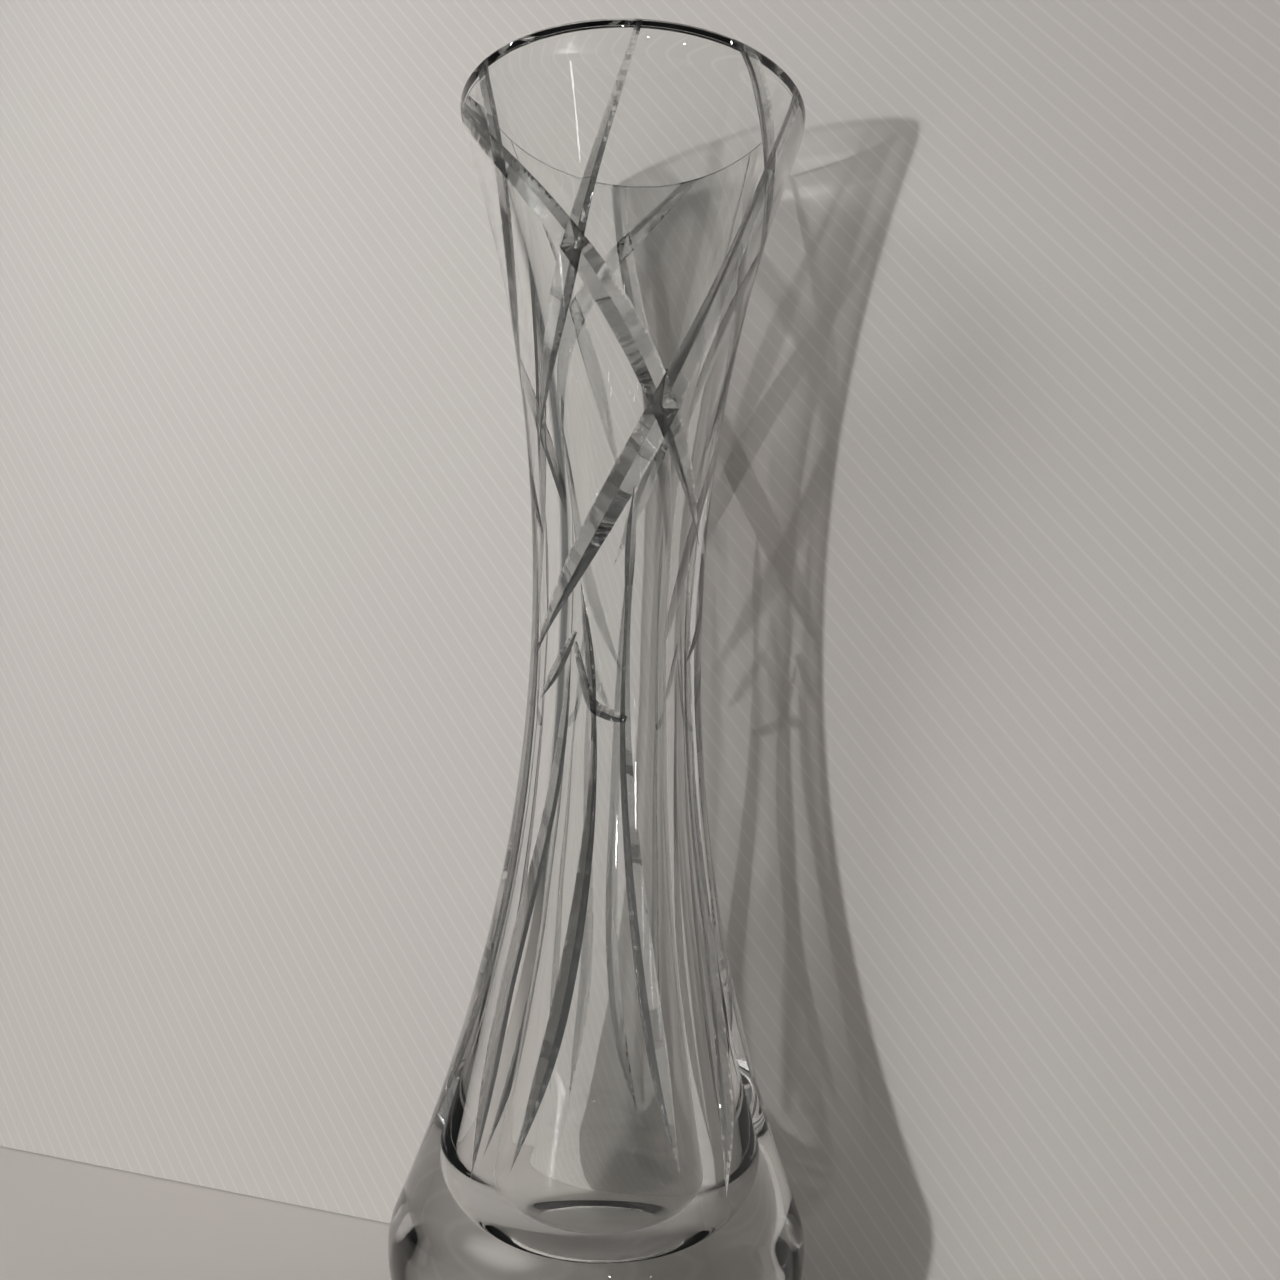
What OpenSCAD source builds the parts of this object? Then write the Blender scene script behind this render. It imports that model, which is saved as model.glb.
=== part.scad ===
// Cut crystal bud vase: one thick, clear body of revolution with mitre cuts in its outside.
// Millimetres, +Z up, origin at the middle of the resting face.
// The glass is held as named zones that meet face to face, from the foot up to the lip.

/* [Outside] */
// Height from the resting face to the lip
vase_h = 236; // [220:1:265]
// Outside diameter of the lip
mouth_d = 70.2; // [65:0.2:76]
// Outside diameter of the waist, the narrowest place
waist_d = 33; // [30:0.5:38]
// Height of the waist above the resting face
waist_z = 129; // [120:1:138]
// Widest outside diameter, at the roll round the foot
foot_d = 75.2; // [70:0.2:84]

/* [Cavity] */
// Thickness of solid glass under the cavity
floor_t = 16; // [12:0.5:19]
// Widest diameter of the cavity, just above its floor
well_d = 39; // [34:0.5:42]
// Diameter of the cavity at the waist
neck_d = 19.5; // [16:0.5:21]
// Thickness of the glass at the lip
lip_t = 4.4; // [3:0.1:5]

/* [Cuts] */
// Depth of the long upright cuts at their deepest
flute_depth = 1.5; // [0.8:0.1:2]
// Depth of the slanting cuts that cross under the mouth
mitre_depth = 1.9; // [0.8:0.1:2.2]
// Number of times that the cut pattern repeats round the vase
repeats = 3; // [2:1:4]

/* [Hidden] */
$fn = 96;

// Heights where one zone ends and the next begins
z_floor = floor_t;
z_well = 53;
z_skirt = 99;
z_waist = 153;
z_flare = 203;

// Rolls: circles that round the foot above and below its widest place,
// the outside of the lip and the cavity's bottom corner
foot_roll = 15;
foot_roll_z = 19;
under_roll = 24;
lip_roll = 20;
lip_up = 1;
corner_roll = 13;
corner_roll_z = floor_t + corner_roll;

waist_r = waist_d / 2;
neck_r = neck_d / 2;
foot_c = foot_d / 2 - foot_roll;
lip_roll_z = vase_h + lip_up;
lip_c = mouth_d / 2 - sqrt(lip_roll * lip_roll - lip_up * lip_up);
lip_in_r = mouth_d / 2 - lip_t;
corner_c = well_d / 2 - corner_roll;

// Radius of the hollow curve from the waist that runs smoothly into a roll
function curve_radius(a, h, roll) = (h * h + a * a - roll * roll) / (2 * (roll + a));
// Radius of the profile at height z: hollow curve, then the roll past the point where they touch
function profile(z, r0, c, cz, roll) =
    let (big = curve_radius(c - r0, abs(cz - waist_z), roll))
    let (touch = cz + roll * (waist_z - cz) / (big + roll))
    (z - touch) * sign(waist_z - cz) < 0
        ? c + sqrt(max(roll * roll - (z - cz) * (z - cz), 0))
        : r0 + big - sqrt(big * big - (z - waist_z) * (z - waist_z));
// Radius of the foot below its widest place, where it turns in to the resting face
function underside(z) =
    foot_d / 2 - under_roll + sqrt(under_roll * under_roll - (foot_roll_z - z) * (foot_roll_z - z));
function outside(z) = z < foot_roll_z
    ? underside(z)
    : z < waist_z
        ? profile(z, waist_r, foot_c, foot_roll_z, foot_roll)
        : profile(z, waist_r, lip_c, lip_roll_z, lip_roll);
function inside(z) = z < waist_z
    ? profile(z, neck_r, corner_c, corner_roll_z, corner_roll)
    : profile(z, neck_r, lip_in_r, vase_h, 0);

// Heights from z0 to z1, close together at the bottom where the corners are tight
function levels(z0, z1, n) = [for (i = [0 : n]) z0 + (z1 - z0) * (1 - cos(90 * i / n))];

module zone(z0, z1, n) {
    up = levels(z0, z1, n);
    rotate_extrude()
        polygon([
            for (z = up) [outside(z), z],
            for (i = [n : -1 : 0]) [inside(up[i]), up[i]]
        ]);
}

// Unit vector that points outward at an angle round the axis, with the front at zero
function outward(angle) = [sin(angle), -cos(angle), 0];

// One long upright cut, made by a large wheel with a V edge.
// It runs down from angle a1 at height z1 to angle a2 at height z2, and is deepest between them.
module wheel_cut(a1, z1, a2, z2) {
    r1 = outside(z1);
    r2 = outside(z2);
    chord = norm([r1 - r2, z1 - z2]);
    lean = atan2(r2 - r1, z1 - z2);
    mid_r = (r1 + r2) / 2;
    mid_z = (z1 + z2) / 2;
    sag = (mid_r - outside(mid_z)) * cos(lean) + flute_depth;
    wheel_r = (chord * chord / 4 + sag * sag) / (2 * sag);
    mid_a = (a1 + a2) / 2;
    skew = atan2(r1 * sin(a1 - mid_a) - r2 * sin(a2 - mid_a), z1 - z2);
    v_h = 4;
    rotate([0, 0, mid_a - 90])
        translate([mid_r, 0, mid_z])
            rotate([-skew, 0, 0])
                rotate([0, -lean, 0])
                    translate([wheel_r - sag, 0, 0])
                        rotate([90, 0, 0])
                            rotate_extrude($fn = 192)
                                polygon([[wheel_r, 0], [wheel_r - v_h, v_h], [wheel_r - v_h, -v_h]]);
}

// Upright cuts below the waist: a wide panel and a narrow panel between them in each repeat
module upright_cuts() {
    for (i = [0 : repeats - 1])
        rotate([0, 0, i * 360 / repeats])
            for (side = [-1, 1]) {
                wheel_cut(side * 8, 135, side * 26, 36);
                wheel_cut(side * 35, 119, side * 42, 33);
            }
}

// One slanting cut that curls round the neck from the lip, as a swept V that fades out at its end.
// It starts at angle a1 on the lip and ends at angle a2 and height z2; bend sets how late it turns.
module mitre_cut(a1, a2, z2, bend) {
    n = 18;
    lift = 1.2;
    start_z = vase_h + 2;
    v_slope = 1.6;
    function spot(t) = [a1 + (a2 - a1) * pow(t, bend), start_z + (z2 - start_z) * t];
    function on_glass(q) = outward(q[0]) * outside(min(q[1], vase_h)) + [0, 0, q[1]];
    function depth(t) = mitre_depth * sqrt(max(1 - t * t, 0)) - lift * pow(t, 12);
    function section(t) =
        let (q = spot(t))
        let (out = outward(q[0]))
        let (along = on_glass(spot(t + 0.01)) - on_glass(spot(max(t - 0.01, 0))))
        let (side = cross(out, along) / norm(cross(out, along)))
        [
            on_glass(q) - out * depth(t),
            on_glass(q) + out * lift + side * (depth(t) + lift) * v_slope,
            on_glass(q) + out * lift - side * (depth(t) + lift) * v_slope
        ];
    rings = [for (i = [0 : n]) section(i / n)];
    polyhedron(
        points = [for (ring = rings) each ring],
        faces = concat(
            [[0, 1, 2], [3 * n + 2, 3 * n + 1, 3 * n]],
            [for (i = [0 : n - 1]) for (k = [0 : 2])
                [3 * i + k, 3 * i + 3 + k, 3 * i + 3 + (k + 1) % 3, 3 * i + (k + 1) % 3]]
        )
    );
}

// Slanting cuts between the lip and the waist: one runs down to the right, two down to the left
module mitre_cuts() {
    for (i = [0 : repeats - 1])
        rotate([0, 0, i * 360 / repeats]) {
            mitre_cut(-88, 64, 146, 1);
            mitre_cut(3, -56, 165, 1.3);
            mitre_cut(66, -64, 125, 2.2);
        }
}

// The foot: solid glass from the resting face up to the floor of the cavity
module foot() {
    color("lightgray", 0.5)
        rotate_extrude()
            polygon([[0, 0], for (z = levels(0, z_floor, 10)) [outside(z), z], [0, z_floor]]);
}

// The thick wall round the wide bottom of the cavity
module well_wall() {
    color("silver", 0.5)
        difference() {
            zone(z_floor, z_well, 12);
            upright_cuts();
        }
}

// The sloping wall between the foot and the waist
module skirt_wall() {
    color("lightgray", 0.5)
        difference() {
            zone(z_well, z_skirt, 6);
            upright_cuts();
        }
}

// The narrow waist
module waist_wall() {
    color("silver", 0.5)
        difference() {
            zone(z_skirt, z_waist, 6);
            upright_cuts();
            mitre_cuts();
        }
}

// The wall that widens towards the mouth
module flare_wall() {
    color("lightgray", 0.5)
        difference() {
            zone(z_waist, z_flare, 8);
            mitre_cuts();
        }
}

// The mouth and its polished lip
module mouth_wall() {
    color("silver", 0.5)
        difference() {
            zone(z_flare, vase_h, 8);
            mitre_cuts();
        }
}

foot();
well_wall();
skirt_wall();
waist_wall();
flare_wall();
mouth_wall();
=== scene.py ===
"""Looks of the cut crystal vase: one continuous glass body with its V cuts, in the CAD frame.

Lengths in this file are millimetres, and points become metres as they go into a mesh or an object.
Angles go round the vase in degrees, with 0 at the front (-Y) and 90 at the right (+X).
"""

import math

import bpy
from mathutils import Matrix, Vector, noise


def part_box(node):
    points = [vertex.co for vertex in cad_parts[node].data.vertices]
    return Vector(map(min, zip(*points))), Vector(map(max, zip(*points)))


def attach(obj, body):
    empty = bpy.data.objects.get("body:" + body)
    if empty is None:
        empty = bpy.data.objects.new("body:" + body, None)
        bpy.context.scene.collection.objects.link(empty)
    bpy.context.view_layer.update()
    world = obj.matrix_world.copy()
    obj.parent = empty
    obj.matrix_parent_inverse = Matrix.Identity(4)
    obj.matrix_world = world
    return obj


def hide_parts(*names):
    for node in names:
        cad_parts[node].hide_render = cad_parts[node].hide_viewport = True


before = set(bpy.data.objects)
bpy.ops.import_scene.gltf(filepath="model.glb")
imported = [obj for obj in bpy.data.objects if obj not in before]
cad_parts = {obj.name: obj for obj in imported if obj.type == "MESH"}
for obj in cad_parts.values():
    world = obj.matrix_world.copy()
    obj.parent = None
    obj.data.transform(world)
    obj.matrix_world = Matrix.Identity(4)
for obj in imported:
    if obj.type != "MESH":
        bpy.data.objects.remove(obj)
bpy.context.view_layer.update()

MM = 0.001
CAD_NODES = ("foot", "well_wall", "skirt_wall", "waist_wall", "flare_wall", "mouth_wall")


def top_of(node):
    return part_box(node)[1][2] / MM


# ---- driving sizes, from the frame where it holds them --------------------------------------------
HEIGHT = top_of("mouth_wall")
FOOT_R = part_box("well_wall")[1][0] / MM
FLOOR_Z = top_of("foot")
MOUTH_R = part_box("mouth_wall")[1][0] / MM
WAIST_R = 16.5
WAIST_Z = 129.0
WELL_R = 19.5
NECK_R = 9.75
LIP_T = 4.4
LIP_EDGE = 0.6
FOOT_ROLL = 15.0
FOOT_ROLL_Z = 19.0
UNDER_ROLL = 24.0
FOOT_EDGE = 0.8
FOOT_EDGE_SLANT = 1.4
LIP_ROLL = 20.0
LIP_UP = 1.0
LIP_C = MOUTH_R - math.sqrt(LIP_ROLL ** 2 - LIP_UP ** 2)
CORNER_ROLL = 13.0
PUNT_R = 22.0
PUNT_H = 1.4
REPEATS = 3

# ---- unevenness of hand-finished glass: how high the waves are, and how far round they are read ---
OUTER_WAVE = 0.03
INNER_WAVE = 0.10
WAVE_R = 20.0

# ---- how finely the blank and its cuts are made ---------------------------------------------------
SEGMENTS = 240
OUTER_RINGS = 285
INNER_RINGS = 150
CORNER_RINGS = 18
EDGE_RINGS = 5
CUT_STEPS = 160


# ---- profile --------------------------------------------------------------------------------------
def profile(z, r0, centre_r, centre_z, roll):
    """Radius at height z: a hollow curve from the waist that runs smoothly into a roll."""
    rise = abs(centre_z - WAIST_Z)
    across = centre_r - r0
    big = (rise * rise + across * across - roll * roll) / (2 * (roll + across))
    touch = centre_z + roll * (WAIST_Z - centre_z) / (big + roll)
    if (z - touch) * (WAIST_Z - centre_z) < 0:
        return centre_r + math.sqrt(max(roll * roll - (z - centre_z) ** 2, 0.0))
    return r0 + big - math.sqrt(big * big - (z - WAIST_Z) ** 2)


def outside(z):
    if z < FOOT_ROLL_Z:
        return FOOT_R - UNDER_ROLL + math.sqrt(UNDER_ROLL ** 2 - (FOOT_ROLL_Z - z) ** 2)
    if z < WAIST_Z:
        return profile(z, WAIST_R, FOOT_R - FOOT_ROLL, FOOT_ROLL_Z, FOOT_ROLL)
    return profile(z, WAIST_R, LIP_C, HEIGHT + LIP_UP, LIP_ROLL)


def inside(z):
    if z < WAIST_Z:
        return profile(z, NECK_R, WELL_R - CORNER_ROLL, FLOOR_Z + CORNER_ROLL, CORNER_ROLL)
    return profile(z, NECK_R, MOUTH_R - LIP_T, HEIGHT, 0.0)


def direction(angle):
    a = math.radians(angle)
    return Vector((math.sin(a), -math.cos(a), 0.0))


def wave(angle, z, size, spacing, seed):
    """A small, slow unevenness of hand-finished glass."""
    at = direction(angle) * (WAVE_R / spacing) + Vector((seed, 0.0, z / spacing))
    return size * noise.noise(at)


def outer_r(angle, z):
    return outside(z) - OUTER_WAVE + wave(angle, z, OUTER_WAVE, spacing=26.0, seed=3.0)


def inner_r(angle, z):
    return inside(z) + wave(angle, z, INNER_WAVE, spacing=18.0, seed=9.0)


def wall_normal(radius, angle, z):
    """Outward unit normal of the wall radius(angle, z)."""
    step = 0.05
    r = radius(angle, z)
    turn = math.degrees(step / max(r, 1.0))
    r_a = (radius(angle + turn, z) - radius(angle - turn, z)) / (2 * math.radians(turn))
    r_z = (radius(angle, z + step) - radius(angle, z - step)) / (2 * step)
    out = direction(angle)
    side = direction(angle + 90.0)
    along_a = out * r_a + side * r
    along_z = out * r_z + Vector((0.0, 0.0, 1.0))
    return along_a.cross(along_z).normalized()


# ---- the uncut blank ------------------------------------------------------------------------------
def spread(a, b, n):
    """Values at n even steps from a to b."""
    return [a + (b - a) * i / n for i in range(n + 1)]


def quarter(n):
    """Sine and cosine at even steps through a quarter turn."""
    return [(math.sin(math.pi / 2 * i / n), math.cos(math.pi / 2 * i / n)) for i in range(n + 1)]


def blank_rings():
    """Rings from the middle of the base out, up and down the inside, as functions of the angle."""
    rings = []

    def plain(r, z):
        rings.append(lambda angle: (r, z))

    for r in spread(PUNT_R / 8, PUNT_R, 7):
        plain(r, PUNT_H * (1 - (r / PUNT_R) ** 2))
    edge_r = outside(0.0) - OUTER_WAVE
    plain((PUNT_R + edge_r) / 2, 0.0)
    for s, c in quarter(EDGE_RINGS)[:-1]:
        plain(edge_r - FOOT_EDGE * (1 - s) * FOOT_EDGE_SLANT, FOOT_EDGE * (1 - c))
    rim_z = HEIGHT - LIP_EDGE
    for z in spread(FOOT_EDGE, rim_z, OUTER_RINGS):
        rings.append(lambda angle, z=z: (outer_r(angle, z), z))
    for s, c in quarter(EDGE_RINGS)[1:]:
        rings.append(lambda angle, s=s, c=c: (
            outer_r(angle, rim_z) - LIP_EDGE * (1 - c), rim_z + LIP_EDGE * s))
    for s, c in quarter(EDGE_RINGS)[:-1]:
        rings.append(lambda angle, s=s, c=c: (
            inner_r(angle, rim_z) + LIP_EDGE * (1 - s), rim_z + LIP_EDGE * c))
    for z in spread(rim_z, FLOOR_Z + CORNER_ROLL, INNER_RINGS):
        rings.append(lambda angle, z=z: (inner_r(angle, z), z))
    for s, c in quarter(CORNER_RINGS)[1:]:
        z = FLOOR_Z + CORNER_ROLL * (1 - s)
        rings.append(lambda angle, z=z: (inner_r(angle, z), z))
    for r in (4.0, 2.0):
        plain(r, FLOOR_Z)
    return rings


def revolve(name, rings, segments, bottom_z, top_z):
    """Closed mesh through the rings, with a point on the axis at each end."""
    verts = []
    for ring in rings:
        for k in range(segments):
            angle = 360.0 * k / segments
            r, z = ring(angle)
            verts.append(direction(angle) * (r * MM) + Vector((0.0, 0.0, z * MM)))
    first = len(verts)
    verts.append(Vector((0.0, 0.0, bottom_z * MM)))
    verts.append(Vector((0.0, 0.0, top_z * MM)))
    faces = []
    for i in range(len(rings) - 1):
        for k in range(segments):
            k2 = (k + 1) % segments
            a, b = i * segments, (i + 1) * segments
            faces.append((a + k, a + k2, b + k2, b + k))
    last = (len(rings) - 1) * segments
    for k in range(segments):
        k2 = (k + 1) % segments
        faces.append((first, k2, k))
        faces.append((first + 1, last + k, last + k2))
    return new_object(name, verts, faces)


def new_object(name, verts, faces):
    mesh = bpy.data.meshes.new(name)
    mesh.from_pydata(verts, [], faces)
    mesh.validate()
    obj = bpy.data.objects.new(name, mesh)
    bpy.context.scene.collection.objects.link(obj)
    return obj


# ---- the cuts -------------------------------------------------------------------------------------
# Half angles of the V of the slanting and the upright cuts, and how far a cutter stands off the glass
MITRE_HALF = 64.0
UPRIGHT_HALF = 54.0
LIFT = 1.2
# All cuts are this much shallower than their plan, so that each fades out before its path ends
FADE = 0.04
# Steps along a path, as shares of it, that give its direction and how a flank turns
PATH_STEP = 0.004
FLANK_STEP = 0.003
# The slanting cuts start this far above the lip, where a wall normal is read this far below it
START_UP = 2.0
LIP_CLEAR = 0.1
ZERO = Vector((0.0, 0.0, 0.0))


def slanting(a1, z1, a2, z2, bend):
    """A path that drops evenly and turns late or early round the neck."""
    return lambda t: (a1 + (a2 - a1) * max(t, 0.0) ** bend, z1 + (z2 - z1) * t)


def through(*points):
    """A smooth path through a few chosen points (angle, height)."""
    spots = [Vector(p) for p in points]
    spots = [2 * spots[0] - spots[1]] + spots + [2 * spots[-1] - spots[-2]]
    count = len(spots) - 3

    def path(t):
        u = min(max(t, 0.0), 1.0) * count
        i = min(int(u), count - 1)
        u -= i
        p0, p1, p2, p3 = spots[i:i + 4]
        bent = (2 * p0 - 5 * p1 + 4 * p2 - p3) * u * u + (3 * p1 - p0 - 3 * p2 + p3) * u ** 3
        return tuple(p1 + 0.5 * ((p2 - p0) * u + bent))
    return path


def depths(*values):
    """Depth along a cut, as a smooth curve through values that are evenly spaced along it."""
    curve = through(*[(i, value) for i, value in enumerate(values)])
    return lambda t: curve(t)[1] - FADE


def on_path(spot):
    """The point of the outside wall at (angle, height). Above the lip it goes straight up."""
    angle, z = spot
    return direction(angle) * outside(min(z, HEIGHT)) + Vector((0.0, 0.0, z))


def v_section(path, depth, half_angle, turn, t):
    """Bottom, right and left points of the V at t. Its open side stands clear of the glass."""
    angle, z = path(t)
    along = on_path(path(t + PATH_STEP)) - on_path(path(t - PATH_STEP))
    normal = wall_normal(lambda a, h: outside(min(h, HEIGHT)), angle, min(z, HEIGHT - LIP_CLEAR))
    side = normal.cross(along).normalized()
    at = on_path((angle, z))
    wide = (depth(t) + LIFT) * math.tan(math.radians(half_angle))
    top = at + normal * LIFT
    spin = Matrix.Rotation(math.radians(turn), 3, "Z")
    return [spin @ point for point in (at - normal * depth(t), top + side * wide, top - side * wide)]


def flank_normals(points, moves, out, across):
    """Normals of one flank at the bottom of the V and at its open side, away from the cutter."""
    pair = [(points[out] - points[0]).cross(moves[i]).normalized() for i in (0, out)]
    return [n if n.dot(across) > 0 else -n for n in pair]


def v_cutter(name, path, depth, half_angle, turn):
    """A V section swept along the path, with the exact normals of its flanks kept beside it."""
    steps = CUT_STEPS
    verts, right, left = [], [], []
    for i in range(steps + 1):
        points, ahead, behind = [
            v_section(path, depth, half_angle, turn, i / steps + step)
            for step in (0.0, FLANK_STEP, -FLANK_STEP)]
        moves = [a - b for a, b in zip(ahead, behind)]
        across = points[1] - points[2]
        right.append(flank_normals(points, moves, 1, across))
        left.append(flank_normals(points, moves, 2, -across))
        verts += [point * MM for point in points]
    faces = [(0, 1, 2), (3 * steps + 2, 3 * steps + 1, 3 * steps)]
    normals = [ZERO] * 6
    for i in range(steps):
        for k in range(3):
            k2 = (k + 1) % 3
            faces.append((3 * i + k, 3 * i + 3 + k, 3 * i + 3 + k2, 3 * i + k2))
        normals += [right[i][0], right[i + 1][0], right[i + 1][1], right[i][1]]
        normals += [ZERO] * 4
        normals += [left[i][1], left[i + 1][1], left[i + 1][0], left[i][0]]
    cutter = new_object(name, verts, faces)
    flank = cutter.data.attributes.new("flank", "FLOAT_VECTOR", "CORNER")
    flank.data.foreach_set("vector", [c for n in normals for c in n])
    return cutter


def cut_plan():
    """One repeat of the pattern: name, path, depth and half angle of the V of each cut."""
    start = HEIGHT + START_UP
    mitres = [
        ("sweep_right", slanting(-88, start, 66, 145, 1.0),
         depths(1.0, 1.15, 1.3, 1.5, 1.55, 1.25, 0.0)),
        ("sweep_left_short", slanting(3, start, -60, 163, 1.3), depths(0.3, 0.5, 0.8, 1.4, 1.0, 0.0)),
        ("sweep_left_long", slanting(66, start, -70, 122, 2.2),
         depths(1.0, 1.1, 1.25, 1.5, 1.65, 1.6, 1.3, 0.0)),
        ("under_left", through((-26, 128), (-40, 121), (-56, 115)), depths(0.3, 0.7, 0.6, 0.0)),
    ]
    uprights = [
        ("panel_left", through((-24, 139), (-12, 115), (-10, 95), (-16, 64), (-26, 36)),
         depths(0.0, 0.7, 0.45, 0.6, 1.0, 1.3, 1.2, 0.0)),
        ("panel_right", through((9, 156), (8, 135), (9, 107), (19, 67), (26, 36)),
         depths(0.0, 0.8, 0.5, 0.7, 1.1, 1.5, 1.4, 0.0)),
        ("panel_top", through((-26, 126), (-14, 115.5), (-3, 113), (9, 112)), depths(0.4, 0.8, 0.9, 0.5)),
        ("outer_left", through((-28, 126), (-33, 102), (-43, 75), (-44, 57), (-39, 34)),
         depths(0.0, 0.8, 1.2, 1.5, 1.5, 1.4, 0.0)),
        ("outer_right", through((52, 147), (56, 119), (58, 77), (52, 52), (40, 32)),
         depths(0.0, 0.8, 1.2, 1.5, 1.5, 1.4, 0.0)),
    ]
    return [cut + (MITRE_HALF,) for cut in mitres] + [cut + (UPRIGHT_HALF,) for cut in uprights]


def all_cutters():
    made = []
    for repeat in range(REPEATS):
        turn = repeat * 360.0 / REPEATS
        for name, path, depth, half_angle in cut_plan():
            made.append(v_cutter("%s_%d" % (name, repeat), path, depth, half_angle, turn))
    return made


def combine(target, others, operation):
    """Applies boolean steps between closed meshes and keeps the result on target."""
    for other in others:
        step = target.modifiers.new(other.name, "BOOLEAN")
        step.operation = operation
        step.solver = "MANIFOLD"
        step.object = other
    depsgraph = bpy.context.evaluated_depsgraph_get()
    result = bpy.data.meshes.new_from_object(target.evaluated_get(depsgraph))
    target.modifiers.clear()
    old = target.data
    target.data = result
    bpy.data.meshes.remove(old)
    for other in others:
        gone = other.data
        bpy.data.objects.remove(other)
        bpy.data.meshes.remove(gone)


# Angle between faces that makes an edge crisp
SHARP_ANGLE = 18.0
# Limits that tell which surface a face is on: the length of a usable normal, how nearly normals agree,
# and how near a wall the face lies. The cavity's bottom corner, up to CORNER_LOW, has fine rings instead.
UNIT_LOW, UNIT_HIGH = 0.9, 1.1
FLANK_MATCH = 0.9
WALL_MATCH = 0.995
WALL_NEAR = 0.05
CORNER_LOW = 4.0


def angle_round(point):
    return math.degrees(math.atan2(point.x, -point.y))


def is_flank(poly, vectors):
    """Whether the face is a cutter's flank, with usable normals of that flank at its corners."""
    return all(UNIT_LOW < v.length < UNIT_HIGH and -poly.normal.dot(v) > FLANK_MATCH for v in vectors)


def wall_of(poly):
    """The smooth wall that holds the face, as its radius function and the way it faces, or None."""
    centre = poly.center / MM
    if not FOOT_EDGE < centre.z < HEIGHT - LIP_EDGE:
        return None
    r = math.hypot(centre.x, centre.y)
    angle = angle_round(centre)
    for radius, sign in ((outer_r, 1), (inner_r, -1)):
        if radius is inner_r and centre.z < FLOOR_Z + CORNER_LOW:
            continue
        if abs(r - radius(angle, centre.z)) > WALL_NEAR:
            continue
        if poly.normal.dot(wall_normal(radius, angle, centre.z) * sign) >= WALL_MATCH:
            return radius, sign
    return None


def polish_normals(obj):
    """Exact normals on the smooth walls and the flanks, and crisp edges along the cuts."""
    mesh = obj.data
    mesh.shade_smooth()
    mesh.set_sharp_from_angle(angle=math.radians(SHARP_ANGLE))
    normals = [Vector(c.vector) for c in mesh.corner_normals]
    flanks = mesh.attributes["flank"].data
    kept = [ZERO] * len(mesh.loops)
    known = {}

    def exact(vertex, radius, sign):
        key = (vertex, sign)
        if key not in known:
            co = mesh.vertices[vertex].co / MM
            known[key] = wall_normal(radius, angle_round(co), co.z) * sign
        return known[key]

    for poly in mesh.polygons:
        vectors = [Vector(flanks[loop].vector) for loop in poly.loop_indices]
        if is_flank(poly, vectors):
            for loop, v in zip(poly.loop_indices, vectors):
                normals[loop] = -v.normalized()
                kept[loop] = v
            continue
        wall = wall_of(poly)
        if wall:
            for loop in poly.loop_indices:
                normals[loop] = exact(mesh.loops[loop].vertex_index, *wall)
    mesh.normals_split_custom_set(normals)
    flanks.foreach_set("vector", [c for v in kept for c in v])


def make_vase():
    """The blank, with every cut taken out of it in one step."""
    body = revolve("vase_glass", blank_rings(), SEGMENTS, PUNT_H, FLOOR_Z)
    cutters = all_cutters()
    combine(cutters[0], cutters[1:], "UNION")
    combine(body, cutters[:1], "DIFFERENCE")
    polish_normals(body)
    return body


# ---- materials ------------------------------------------------------------------------------------
def new_material(name):
    material = bpy.data.materials.new(name)
    material.use_nodes = True
    tree = material.node_tree
    return material, tree.nodes, tree.links, tree.nodes["Principled BSDF"]


def noise_patches(nodes, links, place, scale, detail):
    node = nodes.new("ShaderNodeTexNoise")
    node.inputs["Scale"].default_value = scale
    node.inputs["Detail"].default_value = detail
    links.new(place, node.inputs["Vector"])
    return node.outputs["Fac"]


def map_range(nodes, links, source, span, to, kind="LINEAR"):
    """A clamped ramp from the two values of span to the two values of to."""
    node = nodes.new("ShaderNodeMapRange")
    node.interpolation_type = kind
    node.inputs["From Min"].default_value, node.inputs["From Max"].default_value = span
    node.inputs["To Min"].default_value, node.inputs["To Max"].default_value = to
    links.new(source, node.inputs["Value"])
    return node.outputs["Result"]


def times(nodes, links, a, b):
    node = nodes.new("ShaderNodeMath")
    node.operation = "MULTIPLY"
    links.new(a, node.inputs[0])
    links.new(b, node.inputs[1])
    return node.outputs["Value"]


def either(nodes, links, switch, off, on):
    """Makes the surface off where the switch is 0, and on where it is 1."""
    mix = nodes.new("ShaderNodeMixShader")
    links.new(switch, mix.inputs["Fac"])
    links.new(off, mix.inputs[1])
    links.new(on, mix.inputs[2])
    links.new(mix.outputs["Shader"], nodes["Material Output"].inputs["Surface"])


def crystal():
    """Clear lead crystal: very smooth, with faint ripples and smears left by polishing."""
    material, nodes, links, glass = new_material("crystal")
    glass.inputs["Base Color"].default_value = (0.985, 0.99, 0.985, 1.0)
    glass.inputs["Transmission Weight"].default_value = 1.0
    glass.inputs["IOR"].default_value = 1.545
    place = nodes.new("ShaderNodeTexCoord").outputs["Object"]
    smears = noise_patches(nodes, links, place, scale=90.0, detail=4.0)
    links.new(map_range(nodes, links, smears, (0.5, 0.8), (0.0, 0.03)), glass.inputs["Roughness"])
    bump = nodes.new("ShaderNodeBump")
    bump.inputs["Strength"].default_value = 0.12
    bump.inputs["Distance"].default_value = 0.00005
    ripple = noise_patches(nodes, links, place, scale=160.0, detail=2.0)
    links.new(ripple, bump.inputs["Height"])
    links.new(bump.outputs["Normal"], glass.inputs["Normal"])
    soft_shadow(nodes, links, glass, place)
    return material


# Share of lamplight that the glass lets through head on and edge on, and what is left of it at the
# foot, up to the lower of two heights, and through the flanks of the cuts
SHADOW_CLEAR = 0.86
SHADOW_EDGE = 0.15
SHADOW_FOOT = 0.32
SHADOW_LOW = 15.0
SHADOW_HIGH = 85.0
SHADOW_CUT = 0.6


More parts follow.
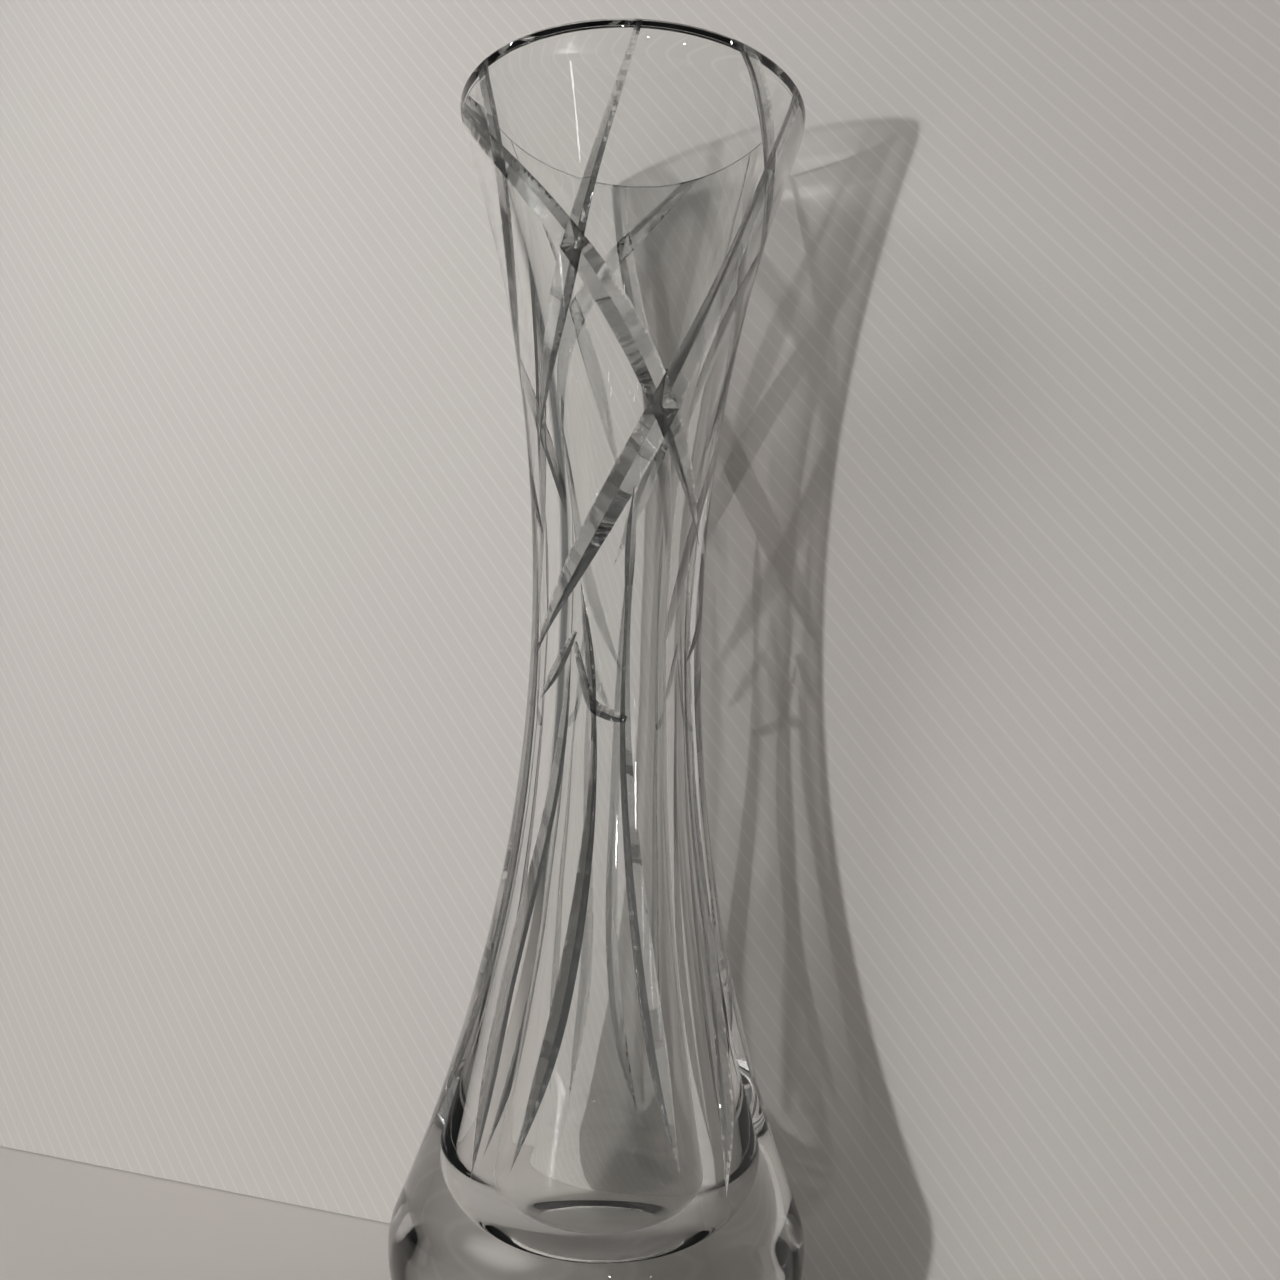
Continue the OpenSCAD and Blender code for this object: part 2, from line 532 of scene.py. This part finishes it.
def soft_shadow(nodes, links, glass, place):
    """Lets part of the lamplight through: most head on, less low down and less through the cuts."""
    facing = nodes.new("ShaderNodeLayerWeight")
    facing.inputs["Blend"].default_value = 0.5
    share = map_range(nodes, links, facing.outputs["Facing"], (0.1, 0.9), (SHADOW_CLEAR, SHADOW_EDGE))
    split = nodes.new("ShaderNodeSeparateXYZ")
    links.new(place, split.inputs["Vector"])
    share = times(nodes, links, share, map_range(
        nodes, links, split.outputs["Z"], (SHADOW_LOW * MM, SHADOW_HIGH * MM), (SHADOW_FOOT, 1.0)))
    cut = nodes.new("ShaderNodeAttribute")
    cut.attribute_name = "flank"
    length = nodes.new("ShaderNodeVectorMath")
    length.operation = "LENGTH"
    links.new(cut.outputs["Vector"], length.inputs[0])
    share = times(nodes, links, share, map_range(
        nodes, links, length.outputs["Value"], (0.0, 1.0), (1.0, SHADOW_CUT)))
    clear = nodes.new("ShaderNodeBsdfTransparent")
    links.new(share, clear.inputs["Color"])
    ray = nodes.new("ShaderNodeLightPath")
    either(nodes, links, ray.outputs["Is Shadow Ray"], glass.outputs["BSDF"], clear.outputs["BSDF"])


# Distance between the sheet's flutes, how far they lean, and how bright a ridge is
FLUTE_PITCH = 3.08
FLUTE_TURN = math.radians(39.1)
FLUTE_RIDGE = 1.09


def pale_plastic(name, colour):
    """Matt plastic whose tint changes slowly. Gives its material, shader, place and tint too."""
    material, nodes, links, plastic = new_material(name)
    plastic.inputs["Roughness"].default_value = 0.55
    plastic.inputs["Specular IOR Level"].default_value = 0.3
    place = nodes.new("ShaderNodeTexCoord").outputs["Object"]
    tint = nodes.new("ShaderNodeMix")
    tint.data_type = "RGBA"
    tint.inputs["A"].default_value = [c * k for c, k in zip(colour, (0.97, 1.0, 0.985))] + [1.0]
    tint.inputs["B"].default_value = [c * k for c, k in zip(colour, (1.01, 0.975, 0.985))] + [1.0]
    links.new(noise_patches(nodes, links, place, scale=9.0, detail=3.0), tint.inputs["Factor"])
    links.new(tint.outputs["Result"], plastic.inputs["Base Color"])
    return material, plastic, place, tint.outputs["Result"]


def fluted_plastic(name, colour):
    """Pale plastic with fine slanting flutes, which is clear when it is seen from behind."""
    material, plastic, place, tint = pale_plastic(name, colour)
    nodes, links = material.node_tree.nodes, material.node_tree.links
    across = nodes.new("ShaderNodeVectorMath")
    across.operation = "DOT_PRODUCT"
    across.inputs[1].default_value = (
        math.cos(FLUTE_TURN) / FLUTE_PITCH / MM, math.sin(FLUTE_TURN) / FLUTE_PITCH / MM, 0.0)
    links.new(place, across.inputs[0])
    part = nodes.new("ShaderNodeMath")
    part.operation = "PINGPONG"
    part.inputs[1].default_value = 0.5
    links.new(across.outputs["Value"], part.inputs[0])
    ridge = map_range(
        nodes, links, part.outputs["Value"], (0.02, 0.14), (FLUTE_RIDGE, 1.0), kind="SMOOTHSTEP")
    shade = nodes.new("ShaderNodeVectorMath")
    shade.operation = "SCALE"
    links.new(tint, shade.inputs[0])
    links.new(ridge, shade.inputs["Scale"])
    links.new(shade.outputs["Vector"], plastic.inputs["Base Color"])
    clear = nodes.new("ShaderNodeBsdfTransparent")
    behind = nodes.new("ShaderNodeNewGeometry").outputs["Backfacing"]
    either(nodes, links, behind, plastic.outputs["BSDF"], clear.outputs["BSDF"])
    return material


# ---- camera, sheet, floor and light ---------------------------------------------------------------
CAMERA_AT = Vector((5.6, -252.1, 94.9))
CAMERA_RISE = math.radians(7.64)
CAMERA_YAW = math.radians(0.23)
CAMERA_ROLL = math.radians(1.71)
CAMERA_LENS = 36.9
# The sheet's turn away from the front, its gap behind the foot, and the sizes of sheet and floor
SHEET_TURN = 25.9
SHEET_GAP = 0.3
SHEET_HALF = 1600.0
SHEET_TALL = 1200.0
FLOOR_HALF = 2000.0
FLOOR_GAP = 0.3
SHEET_COLOUR = (0.72, 0.688, 0.657)
FLOOR_COLOUR = (0.90, 0.862, 0.823)


def make_camera():
    data = bpy.data.cameras.new("camera")
    data.lens = CAMERA_LENS
    data.sensor_width = 36.0
    data.clip_start = 0.01
    data.clip_end = 20.0
    camera = bpy.data.objects.new("camera", data)
    camera.matrix_world = (
        Matrix.Translation(CAMERA_AT * MM)
        @ Matrix.Rotation(CAMERA_YAW, 4, "Z")
        @ Matrix.Rotation(math.pi / 2 + CAMERA_RISE, 4, "X")
        @ Matrix.Rotation(CAMERA_ROLL, 4, "Z"))
    bpy.context.scene.collection.objects.link(camera)
    bpy.context.scene.camera = camera


def make_sheet():
    """The upright sheet just behind the vase, whose local X runs along it and local Y runs up."""
    half, tall = SHEET_HALF, SHEET_TALL
    corners = [(-half, 0), (half, 0), (half, tall), (-half, tall)]
    sheet = new_object("sheet", [Vector((x, y, 0)) * MM for x, y in corners], [(0, 1, 2, 3)])
    away = direction(180.0 - SHEET_TURN)
    along = direction(90.0 - SHEET_TURN)
    turn = Matrix((along, (0.0, 0.0, 1.0), -away)).transposed().to_4x4()
    sheet.matrix_world = Matrix.Translation(away * (FOOT_R + SHEET_GAP) * MM) @ turn
    sheet.data.materials.append(fluted_plastic("sheet_upright", SHEET_COLOUR))
    sheet.cycles.is_caustics_receiver = True


def make_floor():
    """A plain pale floor, just under the foot."""
    half = FLOOR_HALF
    corners = [(-half, -half), (half, -half), (half, half), (-half, half)]
    floor = new_object("floor", [Vector((x, y, -FLOOR_GAP)) * MM for x, y in corners], [(0, 1, 2, 3)])
    floor.data.materials.append(pale_plastic("sheet_floor", FLOOR_COLOUR)[0])
    floor.cycles.is_caustics_receiver = True


def area_light(name, at, aim, width, height, power):
    data = bpy.data.lights.new(name, "AREA")
    data.shape = "RECTANGLE"
    data.size = width * MM
    data.size_y = height * MM
    data.energy = power
    lamp = bpy.data.objects.new(name, data)
    at, aim = Vector(at) * MM, Vector(aim) * MM
    lamp.location = at
    lamp.rotation_euler = (aim - at).to_track_quat("-Z", "Y").to_euler()
    lamp.visible_camera = False
    bpy.context.scene.collection.objects.link(lamp)
    return lamp


def disc_light(name, at, aim, size, power):
    lamp = area_light(name, at, aim, size, size, power)
    lamp.data.shape = "DISK"
    return lamp


# Places of the small lamps that make the glass sparkle
SPARKS = (
    (-300, -900, 900), (350, -700, 800), (-520, -620, 820), (150, -1000, 350),
    (-900, -150, 620), (760, -420, 560), (60, -560, 1020), (-120, -1080, 560),
    (520, -900, 330), (930, 380, 330))


def make_lights():
    """A small lamp low on the left throws the shadow; a window and small lamps fill in and sparkle."""
    middle = (0.0, 0.0, HEIGHT / 2)
    key = disc_light("key", (-740, -800, 67), middle, size=30, power=3.55)
    key.data.cycles.is_caustics_light = True
    window = area_light(
        "window", (-460, -220, 560), (-120, 70, 215), width=200, height=200, power=0.22)
    window.data.spread = math.radians(75)
    window.visible_glossy = False
    window.visible_transmission = False
    area_light("ceiling_strip", (520, -40, 1065), (0, 0, 215), width=70, height=260, power=1.0)
    for i, at in enumerate(SPARKS):
        disc_light("spark_%d" % i, at, middle, size=24, power=0.08)


def make_world():
    """Dim room in soft patches of grey, with one plain grey where the camera sees it."""
    world = bpy.data.worlds.new("room")
    bpy.context.scene.world = world
    world.use_nodes = True
    nodes, links = world.node_tree.nodes, world.node_tree.links
    back = nodes["Background"]
    place = nodes.new("ShaderNodeTexCoord").outputs["Generated"]
    patches = noise_patches(nodes, links, place, scale=2.2, detail=2.0)
    ramp = nodes.new("ShaderNodeValToRGB")
    ramp.color_ramp.elements[0].position = 0.38
    ramp.color_ramp.elements[0].color = (0.045, 0.045, 0.044, 1)
    ramp.color_ramp.elements[1].position = 0.66
    ramp.color_ramp.elements[1].color = (0.17, 0.17, 0.166, 1)
    links.new(patches, ramp.inputs["Fac"])
    seen = nodes.new("ShaderNodeLightPath")
    plain = nodes.new("ShaderNodeMix")
    plain.data_type = "RGBA"
    plain.inputs["B"].default_value = (0.42, 0.42, 0.41, 1)
    links.new(seen.outputs["Is Camera Ray"], plain.inputs["Factor"])
    links.new(ramp.outputs["Color"], plain.inputs["A"])
    links.new(plain.outputs["Result"], back.inputs["Color"])


bpy.context.scene.view_settings.view_transform = "Standard"
make_camera()
make_world()
make_lights()
make_sheet()
make_floor()

vase = make_vase()
vase.data.materials.clear()
vase.data.materials.append(crystal())
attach(vase, "root")
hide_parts(*CAD_NODES)
vase.cycles.is_caustics_caster = True
